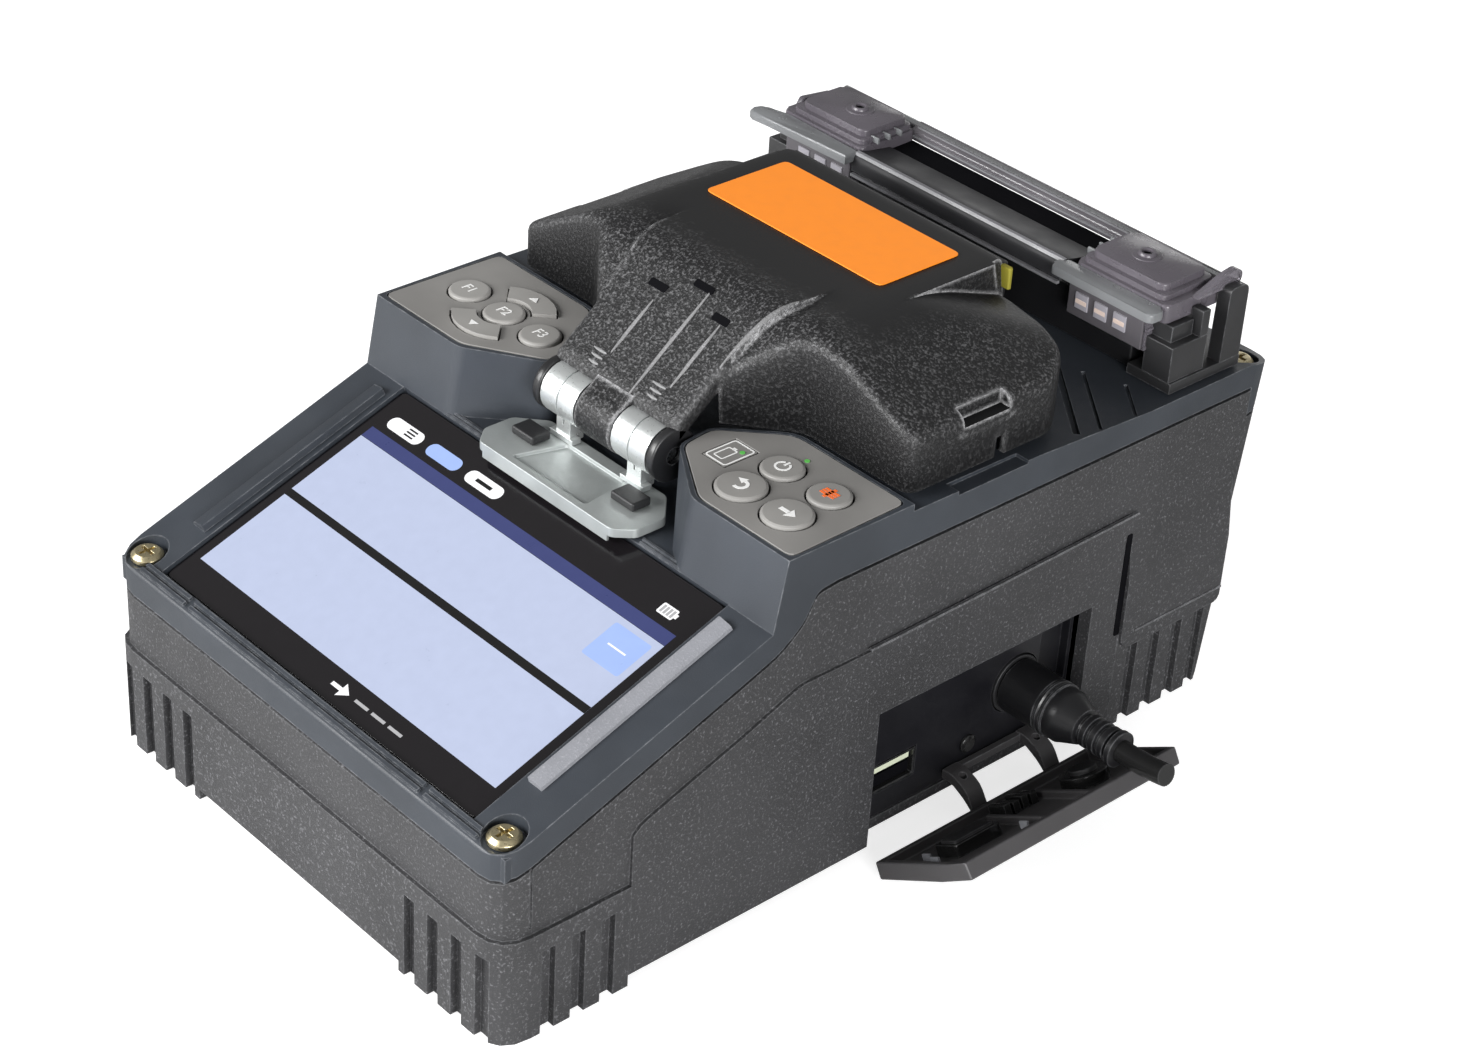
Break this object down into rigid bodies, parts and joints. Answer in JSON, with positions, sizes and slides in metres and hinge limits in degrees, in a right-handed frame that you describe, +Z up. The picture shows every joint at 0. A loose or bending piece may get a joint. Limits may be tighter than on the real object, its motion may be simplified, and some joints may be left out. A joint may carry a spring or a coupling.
{
  "type": "fiber fusion splicer",
  "caption": "Portable instrument with a tilted screen, two keypads, a hinged wind cover over the splicing stage and a sleeve heater with a clear lid.",
  "frame": {"origin": "middle of the underside, on the bottom plate; the foot lands reach 2.5 mm lower", "axes": "+X to the operator's right (the port side), +Y from the screen edge to the heater at the back, +Z up"},
  "size_m": [0.1713, 0.2135, 0.108],
  "materials": {
    "case_black": "fine-grained black",
    "battery_wrap": "shrink-wrapped cells",
    "cover_grey": "fine-grained dark blue-grey",
    "key_plate": "printed warm grey",
    "key_cap": "warm grey",
    "screen": "lit display under glass",
    "zinc_screw": "yellow zinc plating",
    "aluminium": "satin silver",
    "steel": "plain bright",
    "rubber": "black",
    "orange_label": "plain orange",
    "yellow_seal": "foam strip",
    "lamp": "diffuse cover of the lamp",
    "smoked_clear": "smoke-tinted clear plastic",
    "white_ceramic": "white ceramic",
    "brass": "threaded insert",
    "circuit_board": "solder mask"
  },
  "bodies": {
    "case": {"base_case": "case_black", "battery_gauge": "key_plate", "battery_pack": "battery_wrap", "bottom_plate": "case_black", "camera_left": "case_black", "camera_right": "case_black", "clamp_base_left": "aluminium", "clamp_base_right": "aluminium", "cover_screw_front_left": "zinc_screw", "cover_screw_front_right": "zinc_screw", "cover_screw_rear_left": "zinc_screw", "cover_screw_rear_right": "zinc_screw", "dc_jack": "case_black", "display_module": "aluminium", "electrode_front": "steel", "electrode_rear": "steel", "heater_base": "case_black", "heater_end_left": "case_black", "heater_end_right": "case_black", "heater_hinge_pin": "steel", "heater_plate": "white_ceramic", "hinge_knuckle_left": "aluminium", "hinge_knuckle_right": "aluminium", "hinge_pad_left": "rubber", "hinge_pad_right": "rubber", "hinge_pin": "steel", "hinge_plate": "aluminium", "left_key_plate": "key_plate", "main_board": "circuit_board", "port_cover_straps": "rubber", "port_panel": "case_black", "port_screw": "steel", "right_key_plate": "key_plate", "screen_glass": "screen", "splice_block": "white_ceramic", "top_cover": "cover_grey", "tripod_insert": "brass", "usb_port": "steel"},
    "wind_cover": {"wind_cover": "case_black", "cover_label": "orange_label", "cover_seal": "yellow_seal", "cover_lamp": "lamp", "fibre_press_left": "rubber", "fibre_press_right": "rubber"},
    "clamp_lid_left": {"clamp_lid_left": "steel"},
    "clamp_lid_right": {"clamp_lid_right": "steel"},
    "heater_lid": {"heater_lid": "smoked_clear", "lid_pin_left": "steel", "lid_pin_right": "steel"},
    "port_cover": {"port_cover": "rubber"},
    "dc_plug": {"dc_plug": "rubber"},
    "key_f1": {"key_f1": "key_cap"},
    "key_f2": {"key_f2": "key_cap"},
    "key_f3": {"key_f3": "key_cap"},
    "key_up": {"key_up": "key_cap"},
    "key_down": {"key_down": "key_cap"},
    "key_power": {"key_power": "key_cap"},
    "key_heat": {"key_heat": "key_cap"},
    "key_back": {"key_back": "key_cap"},
    "key_start": {"key_start": "key_cap"}
  },
  "joints": [
    {"name": "cover_swing", "type": "hinge", "parent": "case", "child": "wind_cover", "pos_m": [0, -0.0265, 0.0785], "axis": [1, 0, 0], "range_deg": [0, 145]},
    {"name": "clamp_swing_left", "type": "hinge", "parent": "case", "child": "clamp_lid_left", "pos_m": [-0.033, 0.0316, 0.0856], "axis": [-1, 0, 0], "range_deg": [0, 102]},
    {"name": "clamp_swing_right", "type": "hinge", "parent": "case", "child": "clamp_lid_right", "pos_m": [0.033, 0.0316, 0.0856], "axis": [-1, 0, 0], "range_deg": [0, 102]},
    {"name": "heater_lid_swing", "type": "hinge", "parent": "case", "child": "heater_lid", "pos_m": [0, 0.093, 0.097], "axis": [-1, 0, 0], "range_deg": [0, 95]},
    {"name": "port_cover_fold", "type": "hinge", "parent": "case", "child": "port_cover", "pos_m": [0.0728, 0.019, 0], "axis": [0, 1, 0], "range_deg": [0, 29], "stiffness_Nm_per_rad": 0.05},
    {"name": "dc_plug_pull", "type": "slide", "parent": "case", "child": "dc_plug", "axis": [1, 0, 0], "range_m": [0, 0.007], "stiffness_N_per_m": 40},
    {"name": "key_f1_press", "type": "slide", "parent": "case", "child": "key_f1", "axis": [0, 0, -1], "range_m": [0, 0.0008], "stiffness_N_per_m": 400},
    {"name": "key_f2_press", "type": "slide", "parent": "case", "child": "key_f2", "axis": [0, 0, -1], "range_m": [0, 0.0008], "stiffness_N_per_m": 400},
    {"name": "key_f3_press", "type": "slide", "parent": "case", "child": "key_f3", "axis": [0, 0, -1], "range_m": [0, 0.0008], "stiffness_N_per_m": 400},
    {"name": "key_up_press", "type": "slide", "parent": "case", "child": "key_up", "axis": [0, 0, -1], "range_m": [0, 0.0008], "stiffness_N_per_m": 400},
    {"name": "key_down_press", "type": "slide", "parent": "case", "child": "key_down", "axis": [0, 0, -1], "range_m": [0, 0.0008], "stiffness_N_per_m": 400},
    {"name": "key_power_press", "type": "slide", "parent": "case", "child": "key_power", "axis": [0, 0, -1], "range_m": [0, 0.0008], "stiffness_N_per_m": 400},
    {"name": "key_heat_press", "type": "slide", "parent": "case", "child": "key_heat", "axis": [0, 0, -1], "range_m": [0, 0.0008], "stiffness_N_per_m": 400},
    {"name": "key_back_press", "type": "slide", "parent": "case", "child": "key_back", "axis": [0, 0, -1], "range_m": [0, 0.0008], "stiffness_N_per_m": 400},
    {"name": "key_start_press", "type": "slide", "parent": "case", "child": "key_start", "axis": [0, 0, -1], "range_m": [0, 0.0008], "stiffness_N_per_m": 400}
  ],
  "couplings": [
    {"joint": "clamp_swing_left", "follows": "cover_swing", "ratio": 0.7},
    {"joint": "clamp_swing_right", "follows": "cover_swing", "ratio": 0.7}
  ]
}
